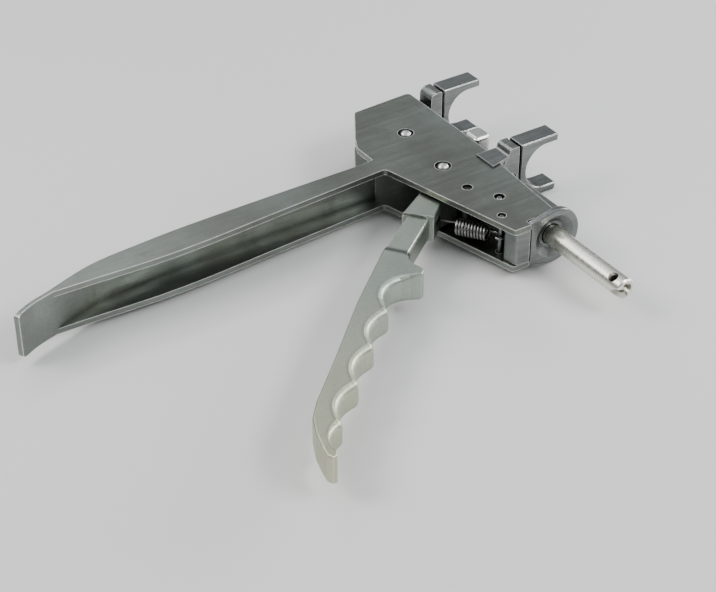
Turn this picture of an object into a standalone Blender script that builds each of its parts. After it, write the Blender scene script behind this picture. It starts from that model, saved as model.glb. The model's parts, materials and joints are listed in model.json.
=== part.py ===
"""Hand lever press for pipe flaring sleeves: folded steel frame, hinged lever, sliding ram, two yokes.

Metres, +Z up. The tool lies flat on its lower side plate. The origin is the centre of the rear end
face of the ram rod. The ram slides along Y and presses towards -Y, the yokes stand out to +X and the
two handles reach out to -X.
Dimensions below are in millimetres, with y counted back from the front edge of the side plates;
to_object turns them into metres and moves the datum to the rod's rear face.
"""
import math

import bmesh
import bpy
from mathutils import Matrix, Vector

MM = 0.001

# ---- clearances ----
GAP = 0.3
CLOSE = 0.1

# ---- folded frame ----
PLATE_OUT = 10.0
SHEET = 2.5
PLATE_IN = PLATE_OUT - SHEET
FILL = PLATE_IN - GAP
FOLD_RADIUS = 2.6
TIP_RADIUS = 5.0
FRONT_Y = 0.2
NOTCH_X = -12.3
NOTCH_Y = 3.5
HANDLE_ROOT_X = -38.0

# ---- ram ----
ROD_R = 4.4
ROD_FRONT = -44.5
ROD_REAR = 113.0
ROD_BORE_R = 2.7
ROD_BORE_DEPTH = 16.0
ROD_CROSS_R = 2.1
ROD_CROSS_Y = -39.0
ROD_CROSS_TILT = 31.0
ROD_NOTCH_WIDE = 7.4
ROD_NOTCH_DEPTH = 6.2
ROD_NOTCH_R = 1.6
ROD_NOTCH_ANGLE = 209.0
SLIDE_R = 4.75
RAM_PIN_R = 1.95
RAM_PIN_END = 7.0

# ---- front bush and guide block ----
COLLAR_R = 12.5
COLLAR_FRONT = 0.1
COLLAR_REAR = 3.1
COLLAR_SHANK_R = 6.1
COLLAR_SHANK_END = 16.0
COLLAR_DISH_R = 9.6
COLLAR_DISH_DEPTH = 2.4
BLOCK_REAR = 30.0

# ---- pins through the side plates ----
PIVOT = (-15.8, 56.4)
REAR_SPACER = (-13.6, 87.2)
STOP_PIN = (-17.2, 37.1)
GUIDE_RIVET = (-10.5, 24.1)
ANCHOR_PIN = (-18.1, 12.3)
FULCRUM = (-11.0, 70.5)
PIVOT_R = 4.0
SPACER_R = 5.0
TENON_R = 2.6
TENON_HOLE_R = 2.9
SINK_R = 3.5
SINK_DEPTH = 1.5
DOME_BASE = 9.0
DOME_TOP = 11.1
STOP_R = 2.5
STOP_TENON_R = 1.9
STOP_END = 9.0
RIVET_END = 9.5
RIVET_R = 1.3
RIVET_HOLE_R = 2.3
ANCHOR_R = 1.2
ANCHOR_HOLE_R = 1.8
FULCRUM_R = 1.5
FULCRUM_END = 8.5
WASHER_IN = 6.62
WASHER_OUT = 7.18

# ---- lever ----
LEVER_HALF = 6.3
NECK_HALF = 5.2
NECK_EDGE = 2.6
NECK_FRONT = [(-60.2, 16.4), (-39.6, 31.8)]
NECK_TOP = (-42.9, 35.9)
NECK_CREASE = (-63.7, 20.6)
CREASE_RUN = 2.2
LEVER_EDGE = 0.8
FINGER_EDGE = 3.4
BOSS_R = 6.4
DRIVE_ARM = 8.0
DRIVE_ANGLE = 18.0
DRIVE_R = 2.6
DRIVE_BARREL = 3.3
DRIVE_TENON_R = 1.1
DRIVE_END = 6.1
CHEEK_R = 2.2
FINGER_PITCH = 22.8
FINGER_DEPTH = 4.3
CREST_R = 2.4
FINGER_START = (-89.0, -12.0)
FINGER_ANGLE = 222.4
GRIP_TIP = (-150.2, -70.6)
HOOK = (-65.4, 0.6)
POST = (-34.0, 37.2)
POST_R = 1.1
POST_END = 5.9
POST_TOP = 4.4
HOOK_SLOT_WIDE = 7.4
HOOK_SLOT_HALF = 1.2

# ---- drive plates and springs ----
DRIVE_FACE = PIVOT[1] + DRIVE_ARM * math.sin(math.radians(DRIVE_ANGLE)) - DRIVE_R - 0.2
DRIVE_THICK = 2.8
PLATE_LEFT = -9.0
PLATE_RIGHT = 7.4
PLATE_HALF = 7.0

# ---- release plate ----
RELEASE_THICK = 3.0
RELEASE_HOLE_R = 4.9
PAD_LEFT = 8.4
PAD_RIGHT = 17.0
PAD_FRONT = 66.2
PAD_REAR = 75.2
PAD_HALF = 9.8
PAD_EDGE = 1.7
PAD_SPRING_X = 12.6
POCKET_R = 3.0
POCKET_DEPTH = 1.0

# ---- jaws ----
JAW_THICK = 9.0
FIXED_JAW_Y = 50.3
MOVING_JAW_Y = 106.8
FIXED_HEAD_LEFT = 11.2
FIXED_HEAD_ROUND = 1.7
FIXED_HEAD_FILLET = 1.3
MOVING_HEAD_LEFT = 10.6
MOVING_HEAD_ROUND = 3.4
HEAD_RIGHT = 16.4
CARRIAGE_LEFT = -7.5
CARRIAGE_FRONT = 98.0
CARRIAGE_REAR = 113.6
JAW_HALF = 14.0
YOKE_LEFT = 17.6
YOKE_RIGHT = 37.2
YOKE_MOUTH_R = 10.5
YOKE_CENTRE_X = 31.2
TONGUE_LEFT = 9.9
TONGUE_HALF_Y = 2.6
TONGUE_HALF_Z = 5.0
YOKE_PIN_X = 13.4
YOKE_PIN_R = 1.5
STRAP_LEFT = 0.5
STRAP_TOP = 11.0
STRAP_FRONT = 43.2
BASE_LEFT = 8.1
EDGE_FRONT = 6.2
EDGE_REAR = 7.4

ROUND = 48
SMALL_ROUND = 24


# ---------------------------------------------------------------- materials
def material(name, colour, roughness, metallic):
    mat = bpy.data.materials.new(name)
    mat.use_nodes = True
    shader = mat.node_tree.nodes["Principled BSDF"]
    shader.inputs["Base Color"].default_value = (*colour, 1.0)
    shader.inputs["Roughness"].default_value = roughness
    shader.inputs["Metallic"].default_value = metallic
    mat.diffuse_color = (*colour, 1.0)
    return mat


def finish(obj, colour, roughness, metallic):
    obj.data.materials.clear()
    obj.data.materials.append(material(obj.name + "_finish", colour, roughness, metallic))


FRAME_STEEL = ((0.30, 0.33, 0.32), 0.42, 0.9)
BRIGHT_STEEL = ((0.72, 0.72, 0.70), 0.25, 1.0)
ROD_STEEL = ((0.78, 0.77, 0.71), 0.30, 1.0)
CAST_ZINC = ((0.62, 0.66, 0.62), 0.45, 0.8)
JAW_STEEL = ((0.42, 0.44, 0.44), 0.35, 1.0)
DARK_STEEL = ((0.22, 0.22, 0.22), 0.45, 1.0)
SPRING_STEEL = ((0.50, 0.50, 0.50), 0.30, 1.0)


# ---------------------------------------------------------------- mesh helpers
def to_object(name, bm, origin=(0.0, 0.0, 0.0), smooth=True):
    """Turn a bmesh built in millimetres into an object whose origin is at the given point."""
    datum = Vector((0.0, ROD_REAR, 0.0))
    bmesh.ops.recalc_face_normals(bm, faces=bm.faces)
    shift = Matrix.Translation(-Vector(origin))
    bm.transform(Matrix.Scale(MM, 4) @ shift)
    mesh = bpy.data.meshes.new(name)
    bm.to_mesh(mesh)
    bm.free()
    if smooth:
        mesh.shade_smooth()
        mesh.set_sharp_from_angle(angle=math.radians(35))
    obj = bpy.data.objects.new(name, mesh)
    obj.location = (Vector(origin) - datum) * MM
    bpy.context.scene.collection.objects.link(obj)
    return obj


def add_prism(bm, outline, low, high, place=None):
    """Extrude a closed outline (x, y) from low to high along z, then move it with place."""
    under = [bm.verts.new((x, y, low)) for x, y in outline]
    over = [bm.verts.new((x, y, high)) for x, y in outline]
    bm.faces.new(list(reversed(under)))
    bm.faces.new(over)
    count = len(outline)
    for i in range(count):
        j = (i + 1) % count
        bm.faces.new((under[i], under[j], over[j], over[i]))
    if place is not None:
        bmesh.ops.transform(bm, matrix=place, verts=under + over)
    return under, over


def inset(outline, amounts):
    """Move every corner of a counter-clockwise outline inwards by its own amount."""
    moved = []
    count = len(outline)
    for i in range(count):
        here = Vector(outline[i])
        arriving = (here - Vector(outline[i - 1])).normalized()
        leaving = (Vector(outline[(i + 1) % count]) - here).normalized()
        first = Vector((-arriving.y, arriving.x))
        second = Vector((-leaving.y, leaving.x))
        step = (first + second) / (1 + first.dot(second))
        point = here + step * amounts[i]
        moved.append((point.x, point.y))
    return moved


def add_soft_prism(bm, outline, half, edges, extra, lean):
    """Prism centred on z = 0 whose long edges are rounded.

    edges holds the radius at each corner. extra adds to that radius where the whole stretch is rounded
    in the one direction lean, so that a wavy side keeps its waves all the way round the edge.
    """
    layers = []
    for step in range(6):
        angle = math.radians(18.0 * step)
        share = 1.0 - math.cos(angle)
        drop = 1.0 - math.sin(angle)
        ring = inset(outline, [share * e for e in edges])
        layer = []
        for (x, y), e, more in zip(ring, edges, extra):
            layer.append((x + share * more * lean.x, y + share * more * lean.y, half - drop * (e + more)))
        layers.append(layer)
    below = [[(x, y, -z) for x, y, z in ring] for ring in reversed(layers)]
    rings = [[bm.verts.new(point) for point in ring] for ring in below + layers]
    count = len(outline)
    for lower, upper in zip(rings, rings[1:]):
        for i in range(count):
            j = (i + 1) % count
            bm.faces.new((lower[i], lower[j], upper[j], upper[i]))
    bm.faces.new(list(reversed(rings[0])))
    bm.faces.new(rings[-1])


def add_box(bm, x0, x1, y0, y1, z0, z1):
    add_prism(bm, [(x0, y0), (x1, y0), (x1, y1), (x0, y1)], z0, z1)


def add_turned(bm, profile, place, steps=ROUND):
    """Revolve a profile of (radius, height) about z; a zero radius closes it, flat ends as one face."""
    rings = []
    for radius, height in profile:
        if radius == 0.0:
            rings.append([bm.verts.new((0.0, 0.0, height))])
            continue
        ring = []
        for i in range(steps):
            angle = 2 * math.pi * i / steps
            ring.append(bm.verts.new((radius * math.cos(angle), radius * math.sin(angle), height)))
        rings.append(ring)
    closed = profile[0][0] != 0.0
    pairs = list(zip(rings, rings[1:]))
    if closed:
        pairs.append((rings[-1], rings[0]))
    bare = []
    for lower, upper in pairs:
        level = lower[0].co.z == upper[0].co.z
        if level and 1 in (len(lower), len(upper)):
            point, ring = sorted((lower, upper), key=len)
            bm.faces.new(ring)
            bare += point
            continue
        for i in range(steps):
            j = (i + 1) % steps
            if len(lower) == 1:
                bm.faces.new((lower[0], upper[j], upper[i]))
            elif len(upper) == 1:
                bm.faces.new((lower[i], lower[j], upper[0]))
            else:
                bm.faces.new((lower[i], lower[j], upper[j], upper[i]))
    bmesh.ops.transform(bm, matrix=place, verts=[v for ring in rings for v in ring])
    for vert in bare:
        bm.verts.remove(vert)


def upright(x, y, z=0.0):
    return Matrix.Translation((x, y, z))


def along_y(x, y, z=0.0):
    """Place a z-axis shape so that its axis runs along +Y."""
    return Matrix.Translation((x, y, z)) @ Matrix.Rotation(math.radians(-90), 4, "X")


def add_rod(bm, place, radius, low, high, steps=ROUND):
    add_turned(bm, [(0.0, low), (radius, low), (radius, high), (0.0, high)], place, steps)


def add_wire(bm, points, radius, sides=8):
    """Sweep a round wire through the points, with closed ends."""
    path = [Vector(p) for p in points]
    tangents = []
    for i in range(len(path)):
        ahead = path[min(i + 1, len(path) - 1)]
        behind = path[max(i - 1, 0)]
        tangents.append((ahead - behind).normalized())
    side = tangents[0].orthogonal().normalized()
    rings = []
    for point, tangent in zip(path, tangents):
        side = (side - tangent * side.dot(tangent)).normalized()
        other = tangent.cross(side)
        ring = []
        for k in range(sides):
            angle = 2 * math.pi * k / sides
            ring.append(bm.verts.new(point + radius * (math.cos(angle) * side + math.sin(angle) * other)))
        rings.append(ring)
    for lower, upper in zip(rings, rings[1:]):
        for k in range(sides):
            n = (k + 1) % sides
            bm.faces.new((lower[k], lower[n], upper[n], upper[k]))
    bm.faces.new(list(reversed(rings[0])))
    bm.faces.new(rings[-1])


def cutter(name, bm):
    obj = to_object(name, bm, smooth=False)
    obj.hide_render = True
    obj.display_type = "WIRE"
    return obj


def combine(target, other, operation):
    modifier = target.modifiers.new(other.name, "BOOLEAN")
    modifier.operation = operation
    modifier.object = other
    modifier.solver = "EXACT"


def arc(centre, radius, start, end, steps):
    """Points on a circle from start to end degrees, both ends included."""
    points = []
    for i in range(steps + 1):
        angle = math.radians(start + (end - start) * i / steps)
        points.append((centre[0] + radius * math.cos(angle), centre[1] + radius * math.sin(angle)))
    return points


def smooth_line(points, steps):
    """Catmull-Rom curve through the points."""
    out = []
    ends = [points[0]] + list(points) + [points[-1]]
    for i in range(1, len(ends) - 2):
        p0, p1, p2, p3 = (Vector(ends[i + k]) for k in (-1, 0, 1, 2))
        for s in range(steps):
            t = s / steps
            value = 0.5 * (
                2 * p1
                + (p2 - p0) * t
                + (2 * p0 - 5 * p1 + 4 * p2 - p3) * t ** 2
                + (3 * p1 - p0 - 3 * p2 + p3) * t ** 3
            )
            out.append((value.x, value.y))
    out.append(tuple(points[-1]))
    return out


def hollow(start, end, depth, steps):
    """Points of a shallow circular hollow between two crests, bulging to the left of start-end."""
    a, b = Vector(start), Vector(end)
    chord = b - a
    left = Vector((-chord.y, chord.x)).normalized()
    points = []
    for i in range(1, steps):
        t = i / steps
        lift = depth * (1 - (2 * t - 1) ** 2)
        p = a + chord * t + left * lift
        points.append((p.x, p.y))
    return points


def rounded_corner(before, corner, after, radius, steps=5):
    """Replace a corner of an outline with an arc of the given radius."""
    c = Vector(corner)
    u = (Vector(before) - c).normalized()
    v = (Vector(after) - c).normalized()
    half = math.acos(max(-1.0, min(1.0, u.dot(v)))) / 2
    reach = radius / math.tan(half)
    centre = c + (u + v).normalized() * (radius / math.sin(half))
    first = c + u * reach - centre
    last = c + v * reach - centre
    turn = math.atan2(first.x * last.y - first.y * last.x, first.dot(last))
    points = []
    for i in range(steps + 1):
        angle = turn * i / steps
        rotated = Matrix.Rotation(angle, 2) @ first
        points.append((centre.x + rotated.x, centre.y + rotated.y))
    return points


def round_outline(points, radii, steps=5):
    """Round the corners of an outline; a zero radius leaves a corner sharp."""
    out = []
    count = len(points)
    for i, (corner, radius) in enumerate(zip(points, radii)):
        if radius == 0:
            out.append(corner)
        else:
            out += rounded_corner(points[i - 1], corner, points[(i + 1) % count], radius, steps)
    return out


# ---------------------------------------------------------------- frame
HANDLE_BACK = [
    (HANDLE_ROOT_X, 76.5),
    (-80.0, 76.6),
    (-125.0, 76.2),
    (-150.0, 74.8),
    (-168.0, 73.2),
    (-180.0, 70.2),
    (-193.0, 65.4),
    (-203.0, 62.2),
    (-211.0, 58.0),
]
HANDLE_INNER = [
    (-192.5, 62.9),
    (-174.0, 62.2),
    (-149.0, 61.0),
    (-125.5, 61.5),
    (-101.7, 63.2),
    (-80.5, 64.6),
    (-55.5, 66.2),
]


def web_line():
    """Inner face of the handle web: the back line moved in by the sheet thickness."""
    line = smooth_line(HANDLE_BACK, 3)
    inner = []
    for i, point in enumerate(line):
        ahead = Vector(line[min(i + 1, len(line) - 1)])
        behind = Vector(line[max(i - 1, 0)])
        along = (ahead - behind).normalized()
        inward = Vector((-along.y, along.x))
        moved = Vector(point) + inward * SHEET
        inner.append((moved.x, moved.y))
    return line, inner


def build_frame():
    back, web = web_line()
    tip_inner = web[-1]
    curl = [p for p in web if p[0] < HANDLE_INNER[0][0] - 1.0]
    body = [
        (-20.5, FRONT_Y),
        (NOTCH_X, FRONT_Y),
        (NOTCH_X, NOTCH_Y),
        (2.2, NOTCH_Y),
        (5.0, 42.0),
        (7.0, 54.5),
        (7.5, 115.5),
        (-22.5, 114.0),
        (-34.5, 95.0),
        (HANDLE_ROOT_X, 88.0),
    ]
    radii = [0.8, 0.0, 0.0, 0.8, 20.0, 20.0, 2.0, 2.0, 6.0, 3.0]
    rounded = []
    for i, (corner, radius) in enumerate(zip(body, radii)):
        before = body[i - 1] if i else (-37.6, 67.3)
        after = body[i + 1] if i + 1 < len(body) else HANDLE_BACK[0]
        if radius:
            rounded += rounded_corner(before, corner, after, radius, 4)
        else:
            rounded.append(corner)
    inner_edge = smooth_line(HANDLE_INNER, 2)
    elbow = rounded_corner(HANDLE_INNER[-1], (-37.6, 67.3), body[0], 2.0, 4)
    outline = rounded + back + list(reversed(curl)) + inner_edge + elbow

    bm = bmesh.new()
    under, over = add_prism(bm, outline, -PLATE_OUT, PLATE_OUT)
    first = len(rounded)
    last = first + len(back) - 1
    weight = bm.edges.layers.float.new("bevel_weight_edge")
    for ring in (under, over):
        for i in range(first, last):
            bm.edges.get((ring[i], ring[i + 1]))[weight] = FOLD_RADIUS / TIP_RADIUS
        bm.edges.get((ring[last], ring[last + 1]))[weight] = 1.0
    frame = to_object("frame", bm)
    bevel = frame.modifiers.new("folds", "BEVEL")
    bevel.limit_method = "WEIGHT"
    bevel.width = TIP_RADIUS * MM
    bevel.segments = 4

    bm = bmesh.new()
    beyond = (tip_inner[0] - 20.0, tip_inner[1] - 12.0)
    hollow_outline = [(60.0, -60.0), (60.0, 150.0), (web[0][0], 150.0)]
    hollow_outline += web + [beyond, (-260.0, -60.0)]
    add_prism(bm, hollow_outline, -PLATE_IN, PLATE_IN)
    combine(frame, cutter("frame_hollow", bm), "DIFFERENCE")

    bm = bmesh.new()
    for x, y in (PIVOT, REAR_SPACER):
        sunk = PLATE_OUT - SINK_DEPTH
        profile = [
            (0.0, -PLATE_OUT - 1),
            (SINK_R, -PLATE_OUT - 1),
            (SINK_R, -sunk),
            (TENON_HOLE_R, -sunk),
            (TENON_HOLE_R, sunk),
            (SINK_R, sunk),
            (SINK_R, PLATE_OUT + 1),
            (0.0, PLATE_OUT + 1),
        ]
        add_turned(bm, profile, upright(x, y), SMALL_ROUND)
    through = ((STOP_PIN, STOP_TENON_R + GAP), (GUIDE_RIVET, RIVET_HOLE_R), (ANCHOR_PIN, ANCHOR_HOLE_R))
    for (x, y), radius in through:
        reach = PLATE_OUT + 1
        add_rod(bm, upright(x, y), radius, -reach, reach, SMALL_ROUND)
    reach = FULCRUM_END + GAP
    add_rod(bm, upright(*FULCRUM), FULCRUM_R + GAP, -reach, reach, SMALL_ROUND)
    combine(frame, cutter("frame_bores", bm), "DIFFERENCE")
    finish(frame, *FRAME_STEEL)
    return frame


# ---------------------------------------------------------------- front end
def build_guide_block():
    outline = [
        (-19.4, FRONT_Y),
        (NOTCH_X - 0.3, FRONT_Y),
        (NOTCH_X - 0.3, COLLAR_REAR + GAP),
        (8.0, COLLAR_REAR + GAP),
        (8.0, BLOCK_REAR),
        (-13.5, BLOCK_REAR),
        (-13.5, 7.5),
        (-20.6, 7.5),
    ]
    outline = round_outline(outline, [1.2, 0, 0, 1.0, 2.0, 2.0, 1.5, 1.0])
    bm = bmesh.new()
    add_prism(bm, outline, -FILL, FILL)
    block = to_object("guide_block", bm)
    bm = bmesh.new()
    add_turned(
        bm,
        [
            (0.0, -2.0),
            (COLLAR_SHANK_R + GAP, -2.0),
            (COLLAR_SHANK_R + GAP, COLLAR_SHANK_END + GAP),
            (SLIDE_R, COLLAR_SHANK_END + GAP),
            (SLIDE_R, BLOCK_REAR + 2.0),
            (0.0, BLOCK_REAR + 2.0),
        ],
        along_y(0, 0),
    )
    combine(block, cutter("guide_block_bore", bm), "DIFFERENCE")
    bm = bmesh.new()
    add_rod(bm, upright(*GUIDE_RIVET), RIVET_R + GAP, -PLATE_OUT, PLATE_OUT, SMALL_ROUND)
    combine(block, cutter("guide_block_rivet_hole", bm), "DIFFERENCE")
    finish(block, *JAW_STEEL)
    return block


def build_front_collar():
    """Flanged bush; the flange runs out on one side to meet the front edge of the side plates."""
    corner = (NOTCH_X + 0.3, PLATE_OUT)
    slope = math.degrees(math.acos(COLLAR_R / math.hypot(*corner)))
    facing = math.degrees(math.atan2(corner[1], corner[0]))
    touch = facing - slope
    outline = arc((0, 0), COLLAR_R, -touch, touch, 40)
    outline += [corner, (corner[0], -corner[1])]
    bm = bmesh.new()
    place = Matrix.Rotation(math.radians(90), 4, "X")
    add_prism(bm, outline, -COLLAR_REAR, -COLLAR_FRONT, place)
    collar = to_object("front_collar", bm)
    bevel = collar.modifiers.new("rim", "BEVEL")
    bevel.limit_method = "ANGLE"
    bevel.angle_limit = math.radians(40)
    bevel.width = 0.6 * MM
    bevel.segments = 2
    bm = bmesh.new()
    add_rod(bm, along_y(0, 0), COLLAR_SHANK_R, COLLAR_REAR - 1.0, COLLAR_SHANK_END)
    combine(collar, cutter("front_collar_shank", bm), "UNION")
    bm = bmesh.new()
    dish_end = COLLAR_FRONT + COLLAR_DISH_DEPTH
    add_turned(
        bm,
        [
            (0.0, COLLAR_FRONT - 2.0),
            (COLLAR_DISH_R, COLLAR_FRONT - 2.0),
            (COLLAR_DISH_R, COLLAR_FRONT),
            (SLIDE_R + 1.2, dish_end),
            (SLIDE_R, dish_end),
            (SLIDE_R, COLLAR_SHANK_END + 2.0),
            (0.0, COLLAR_SHANK_END + 2.0),
        ],
        along_y(0, 0),
    )
    combine(collar, cutter("front_collar_bore", bm), "DIFFERENCE")
    finish(collar, *JAW_STEEL)
    return collar


# ---------------------------------------------------------------- pins
def shouldered_pin(name, spot, shoulder):
    """Spacer turned down at both ends, with domed riveted heads in sunk holes."""
    rise = DOME_TOP - DOME_BASE
    cap = [(TENON_R * math.cos(0.2 * a), DOME_BASE + rise * math.sin(0.2 * a)) for a in range(1, 8)]
    top = [(shoulder, 0.0), (shoulder, FILL - 0.4), (shoulder - 0.4, FILL), (TENON_R, FILL)]
    top += [(TENON_R, DOME_BASE)] + cap + [(0.0, DOME_TOP)]
    bottom = [(r, -h) for r, h in reversed(top[1:])]
    bm = bmesh.new()
    add_turned(bm, bottom + top, upright(*spot), 36)
    pin = to_object(name, bm, (*spot, 0.0))
    finish(pin, *BRIGHT_STEEL)
    return pin


def build_pins():
    shouldered_pin("lever_pivot_pin", PIVOT, PIVOT_R)
    shouldered_pin("rear_spacer", REAR_SPACER, SPACER_R)

    top = [(STOP_R, 0.0), (STOP_R, FILL), (STOP_TENON_R, FILL), (STOP_TENON_R, STOP_END), (0.0, STOP_END)]
    bm = bmesh.new()
    add_turned(bm, [(r, -h) for r, h in reversed(top[1:])] + top, upright(*STOP_PIN), SMALL_ROUND)
    finish(to_object("stop_pin", bm, (*STOP_PIN, 0.0)), *DARK_STEEL)

    studs = (("guide_rivet", GUIDE_RIVET, RIVET_R), ("spring_anchor_pin", ANCHOR_PIN, ANCHOR_R))
    for name, spot, radius in studs:
        bm = bmesh.new()
        profile = [(0.0, -RIVET_END), (radius - 0.3, -RIVET_END), (radius, 0.3 - RIVET_END)]
        profile += [(r, -h) for r, h in reversed(profile)]
        add_turned(bm, profile, upright(*spot), SMALL_ROUND)
        finish(to_object(name, bm, (*spot, 0.0)), *JAW_STEEL)

    bm = bmesh.new()
    add_rod(bm, upright(*FULCRUM), FULCRUM_R, -FULCRUM_END, FULCRUM_END, SMALL_ROUND)
    finish(to_object("release_fulcrum_pin", bm, (*FULCRUM, 0.0)), *DARK_STEEL)

    for name, side in (("thrust_washer_top", 1), ("thrust_washer_bottom", -1)):
        bm = bmesh.new()
        low, high = sorted((side * WASHER_IN, side * WASHER_OUT))
        inner = PIVOT_R + GAP
        profile = [(inner, low), (BOSS_R - 0.2, low), (BOSS_R - 0.2, high), (inner, high)]
        add_turned(bm, profile, upright(*PIVOT), 36)
        finish(to_object(name, bm, (*PIVOT, 0.0)), *BRIGHT_STEEL)


# ---------------------------------------------------------------- lever
def drive_centre():
    angle = math.radians(DRIVE_ANGLE)
    return (PIVOT[0] + DRIVE_ARM * math.cos(angle), PIVOT[1] + DRIVE_ARM * math.sin(angle))


def grip_line():
    """Finger side of the grip from the tip to the trigger hook."""
    angle = math.radians(FINGER_ANGLE)
    step = Vector((math.cos(angle), math.sin(angle))) * FINGER_PITCH
    crests = [tuple(Vector(FINGER_START) + step * k) for k in range(4)]
    stops = [GRIP_TIP] + list(reversed(crests)) + [HOOK]
    depths = [3.4] + [FINGER_DEPTH] * 3 + [7.8]
    line = [GRIP_TIP]
    spans = [hollow(a, b, depth, 9) for a, b, depth in zip(stops, stops[1:], depths)]
    for i, span in enumerate(spans):
        line += span
        if i + 1 < len(spans):
            line += rounded_corner(span[-1], stops[i + 1], spans[i + 1][0], CREST_R, 3)
    line.append(HOOK)
    return line


def finger_round(x):
    """Extra edge radius along the finger side, fading out towards the hook and the tip."""
    fade = min(1.0, (HOOK[0] - x) / 7.0, (x - GRIP_TIP[0]) / 9.0)
    return (FINGER_EDGE - LEVER_EDGE) * max(0.0, fade)


def build_lever():
    cx, cy = drive_centre()
    boss_right = arc(PIVOT, BOSS_R, -28, 2, 4)
    boss_top = arc(PIVOT, BOSS_R, 62, 128, 8)
    tip_cheek = arc((cx, cy), CHEEK_R, -100, 100, 10)
    front = [
        (-63.8, 1.4),
        (-62.8, 2.9),
        (-62.8, 4.9),
        (-63.9, 8.4),
        (-63.4, 12.4),
        *NECK_FRONT,
        (-38.2, 30.8),
        (-29.6, 38.2),
        (-21.0, 38.7),
        (-19.3, 39.4),
        (-18.8, 41.0),
    ]
    back = [
        (-32.0, 49.6),
        (-47.4, 40.4),
        (-45.7, 38.6),
        (-66.6, 24.0),
        (-69.0, 22.4),
        (-96.0, -0.6),
        (-122.0, -25.4),
        (-141.5, -43.4),
        (-147.6, -50.4),
        (-151.2, -58.4),
        (-153.2, -65.5),
        (-154.0, -70.0),
        (-153.0, -72.4),
        (-151.2, -72.4),
    ]
    grip = grip_line()
    outline = grip + front + boss_right + tip_cheek + boss_top + back
    inner_edge = LEVER_EDGE * 0.3
    edges = [inner_edge if x > -30.0 else LEVER_EDGE for x, y in outline]
    extra = [finger_round(x) for x, y in grip] + [0.0] * (len(outline) - len(grip))
    for corner in NECK_FRONT:
        extra[outline.index(corner)] = NECK_EDGE
    across = math.radians(FINGER_ANGLE - 90.0)
    lean = Vector((math.cos(across), math.sin(across)))
    bm = bmesh.new()
    add_soft_prism(bm, outline, LEVER_HALF, edges, extra, lean)
    lever = to_object("lever", bm, (*PIVOT, 0.0))

    bm = bmesh.new()
    add_rod(bm, upright(*PIVOT), PIVOT_R + GAP, -10, 10)
    add_rod(bm, upright(*POST), POST_R + 0.2, -10, POST_TOP + GAP, SMALL_ROUND)
    slot, wide, narrow = DRIVE_BARREL + GAP, DRIVE_R + GAP, DRIVE_TENON_R + 0.2
    profile = [(0.0, -10), (narrow, -10), (narrow, -slot), (wide, -slot)]
    profile += [(r, -h) for r, h in reversed(profile)]
    add_turned(bm, profile, upright(cx, cy), SMALL_ROUND)
    combine(lever, cutter("lever_bores", bm), "DIFFERENCE")
    bm = bmesh.new()
    lead = Vector(ANCHOR_PIN) - Vector(POST)
    lead.normalize()
    across = Vector((-lead.y, lead.x)) * (HOOK_SLOT_WIDE / 2)
    start = Vector(POST) - lead * (HOOK_SLOT_WIDE / 2)
    end = Vector(POST) + lead * 14.0
    slot_outline = [start + across, start - across, end - across, end + across]
    add_prism(bm, [(p.x, p.y) for p in slot_outline], -HOOK_SLOT_HALF, HOOK_SLOT_HALF)
    combine(lever, cutter("lever_hook_slot", bm), "DIFFERENCE")
    neck = Vector((*NECK_TOP, 0.0))
    to_crease = Vector((*NECK_CREASE, 0.0)) - neck
    length = to_crease.length
    turn = math.atan2(to_crease.y, to_crease.x)
    above = LEVER_HALF + 1.0
    relief = [(0.0, NECK_HALF), (length, NECK_HALF), (length + CREASE_RUN, above), (0.0, above)]
    bm = bmesh.new()
    for side in (1, -1):
        along_neck = Matrix.Translation(neck) @ Matrix.Rotation(turn, 4, "Z")
        place = along_neck @ Matrix.Rotation(math.radians(90), 4, "X")
        outline = [(s, side * h) for s, h in relief]
        add_prism(bm, outline, -14.0, 14.0, place)
    combine(lever, cutter("lever_neck_relief", bm), "DIFFERENCE")

    finish(lever, *CAST_ZINC)

    bm = bmesh.new()
    top = [(DRIVE_R, 0.0), (DRIVE_R, DRIVE_BARREL), (DRIVE_TENON_R, DRIVE_BARREL)]
    top += [(DRIVE_TENON_R, DRIVE_END), (0.0, DRIVE_END)]
    add_turned(bm, [(r, -h) for r, h in reversed(top[1:])] + top, upright(cx, cy), SMALL_ROUND)
    finish(to_object("drive_pin", bm, (*PIVOT, 0.0)), *BRIGHT_STEEL)

    bm = bmesh.new()
    add_rod(bm, upright(*POST), POST_R, -POST_END, POST_TOP, SMALL_ROUND)
    finish(to_object("spring_post", bm, (*PIVOT, 0.0)), *DARK_STEEL)


# ---------------------------------------------------------------- springs
def build_lever_spring():
    """Extension spring with a loop round each pin."""
    post, anchor = Vector((*POST, 0.0)), Vector((*ANCHOR_PIN, 0.0))
    lead = (anchor - post).normalized()
    across = Vector((-lead.y, lead.x, 0.0))
    up = Vector((0.0, 0.0, 1.0))
    wire, coil, small, large = 0.6, 3.0, 2.5, 2.4
    points = []
    for i in range(12):
        angle = math.radians(-40 - 270 * i / 11)
        points.append(post + small * (math.cos(angle) * lead + math.sin(angle) * across))
    first = post + lead * 10.5
    last = anchor - lead * 5.6
    turns, steps = 10, 12
    total = turns * steps
    for i in range(total + 1):
        angle = 2 * math.pi * i / steps
        spot = first + (last - first) * (i / total)
        points.append(spot + coil * (math.cos(angle) * across + math.sin(angle) * up))
    for i in range(12):
        angle = math.radians(140 - 270 * i / 11)
        points.append(anchor + large * (math.cos(angle) * lead + math.sin(angle) * across))
    bm = bmesh.new()
    add_wire(bm, points, wire, 6)
    finish(to_object("lever_spring", bm), *SPRING_STEEL)


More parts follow.
